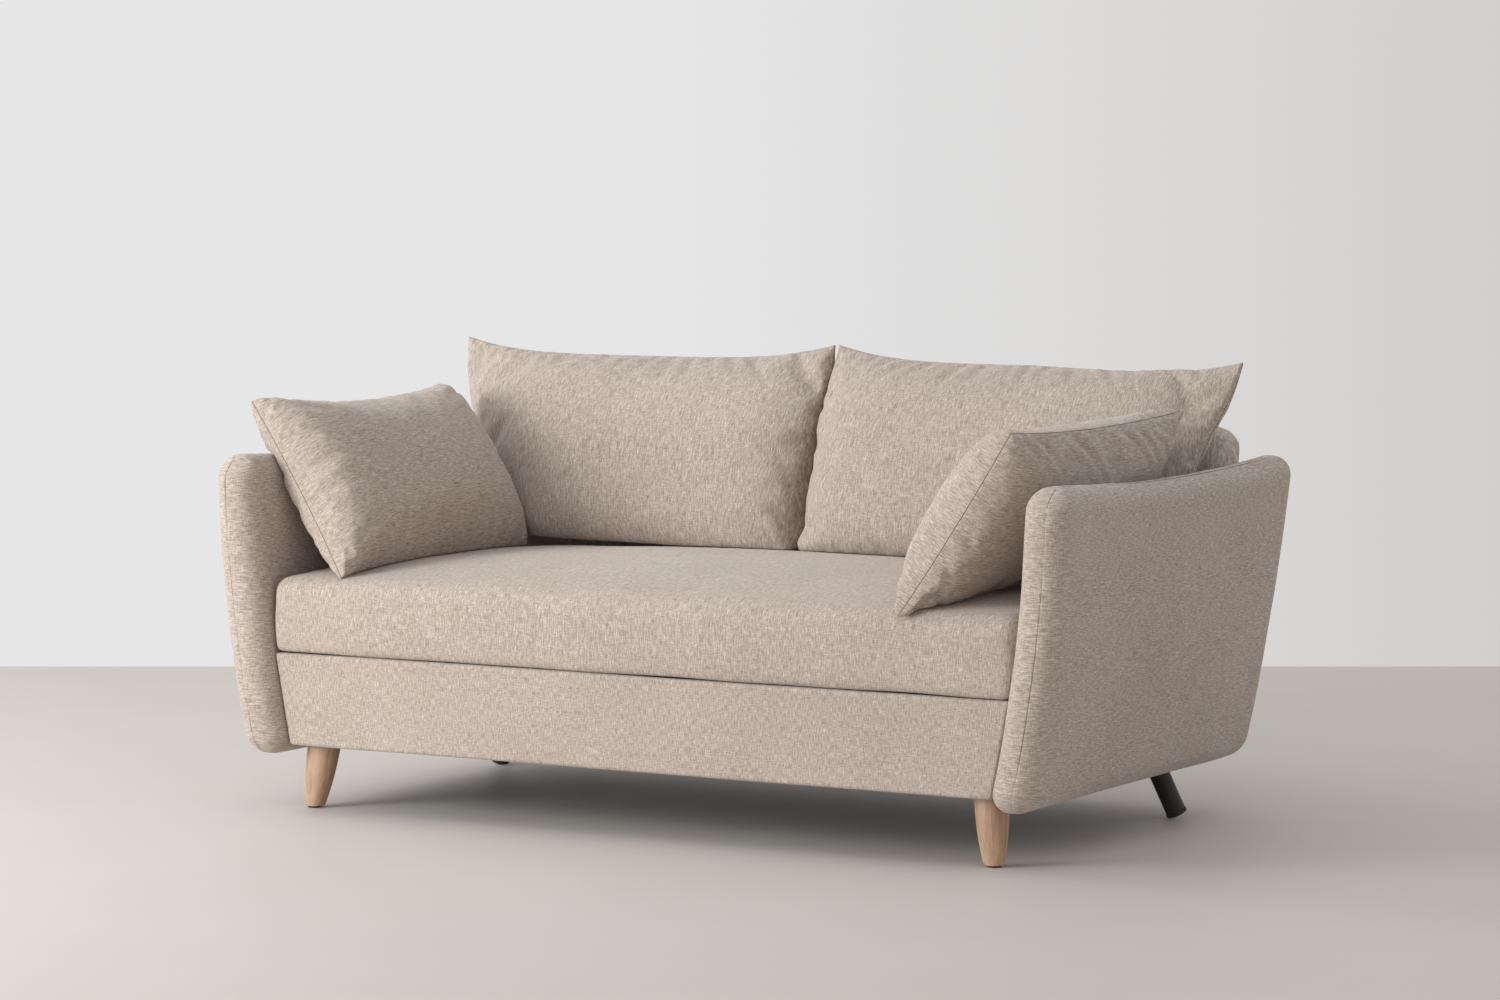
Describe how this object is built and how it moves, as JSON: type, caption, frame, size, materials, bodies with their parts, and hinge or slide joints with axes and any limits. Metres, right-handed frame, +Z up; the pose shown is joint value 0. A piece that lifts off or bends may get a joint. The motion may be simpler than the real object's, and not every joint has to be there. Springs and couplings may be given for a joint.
{
  "type": "two-seat sofa",
  "caption": "Upholstered sofa with flared wing arms, a loose bench seat cushion, loose back and scatter cushions, turned wooden front legs and splayed black rear legs.",
  "frame": {"origin": "on the floor, under the middle of the bounding box", "axes": "+X to the right as seen from the front, -Y out of the front, +Z up; left and right in names are as seen from the front"},
  "size_m": [1.8348, 1.0802, 0.8864],
  "materials": {
    "linen": "slubby woven taupe linen",
    "timber": "sawn softwood",
    "turned_oak": "pale oiled oak",
    "black_metal": "matte black powder coat",
    "steel": "zinc plated",
    "webbing": "elastic webbing",
    "deck_cloth": "dark spun cloth",
    "black_plastic": "matte"
  },
  "bodies": {
    "frame": {"arm_bolt_left_1": "steel", "arm_bolt_left_2": "steel", "arm_bolt_right_1": "steel", "arm_bolt_right_2": "steel", "arm_frame_left": "timber", "arm_frame_right": "timber", "arm_pad_left": "linen", "arm_pad_right": "linen", "back_bolt_left_1": "steel", "back_bolt_left_2": "steel", "back_bolt_right_1": "steel", "back_bolt_right_2": "steel", "back_lower_rail": "timber", "back_pad": "linen", "back_post_left": "timber", "back_post_right": "timber", "back_top_rail": "timber", "back_web_1": "webbing", "back_web_2": "webbing", "back_web_3": "webbing", "back_web_4": "webbing", "centre_rail": "timber", "corner_block_front_left": "timber", "corner_block_front_right": "timber", "corner_block_rear_left": "timber", "corner_block_rear_right": "timber", "dust_cover": "deck_cloth", "front_glide_left": "black_plastic", "front_glide_right": "black_plastic", "front_leg_bolt_left": "steel", "front_leg_bolt_right": "steel", "front_leg_left": "turned_oak", "front_leg_right": "turned_oak", "front_panel": "linen", "front_rail": "timber", "rear_leg_cap_left": "black_plastic", "rear_leg_cap_right": "black_plastic", "rear_leg_left": "black_metal", "rear_leg_plate_left": "black_metal", "rear_leg_plate_right": "black_metal", "rear_leg_right": "black_metal", "rear_rail": "timber", "seat_deck": "deck_cloth", "side_rail_left": "timber", "side_rail_right": "timber", "web_cross_1": "webbing", "web_cross_2": "webbing", "web_long_1": "webbing", "web_long_2": "webbing", "web_long_3": "webbing", "web_long_4": "webbing", "web_long_5": "webbing", "web_long_6": "webbing", "web_long_7": "webbing"},
    "seat_cushion_body": {"seat_cushion": "linen"},
    "back_cushion_left_body": {"back_cushion_left": "linen"},
    "back_cushion_right_body": {"back_cushion_right": "linen"},
    "scatter_cushion_left_body": {"scatter_cushion_left": "linen"},
    "scatter_cushion_right_body": {"scatter_cushion_right": "linen"}
  },
  "joints": [
    {"name": "seat_cushion_lift", "type": "slide", "parent": "frame", "child": "seat_cushion_body", "axis": [0, 0, 1], "range_m": [0, 0.18]},
    {"name": "back_cushion_left_lift", "type": "slide", "parent": "seat_cushion_body", "child": "back_cushion_left_body", "axis": [0, 0.1908, 0.9816], "range_m": [0, 0.25]},
    {"name": "back_cushion_right_lift", "type": "slide", "parent": "seat_cushion_body", "child": "back_cushion_right_body", "axis": [0, 0.1908, 0.9816], "range_m": [0, 0.25]},
    {"name": "scatter_cushion_left_lift", "type": "slide", "parent": "seat_cushion_body", "child": "scatter_cushion_left_body", "axis": [0.1997, -0.1497, 0.9684], "range_m": [0, 0.25]},
    {"name": "scatter_cushion_right_lift", "type": "slide", "parent": "seat_cushion_body", "child": "scatter_cushion_right_body", "axis": [-0.1997, -0.1497, 0.9684], "range_m": [0, 0.25]}
  ]
}
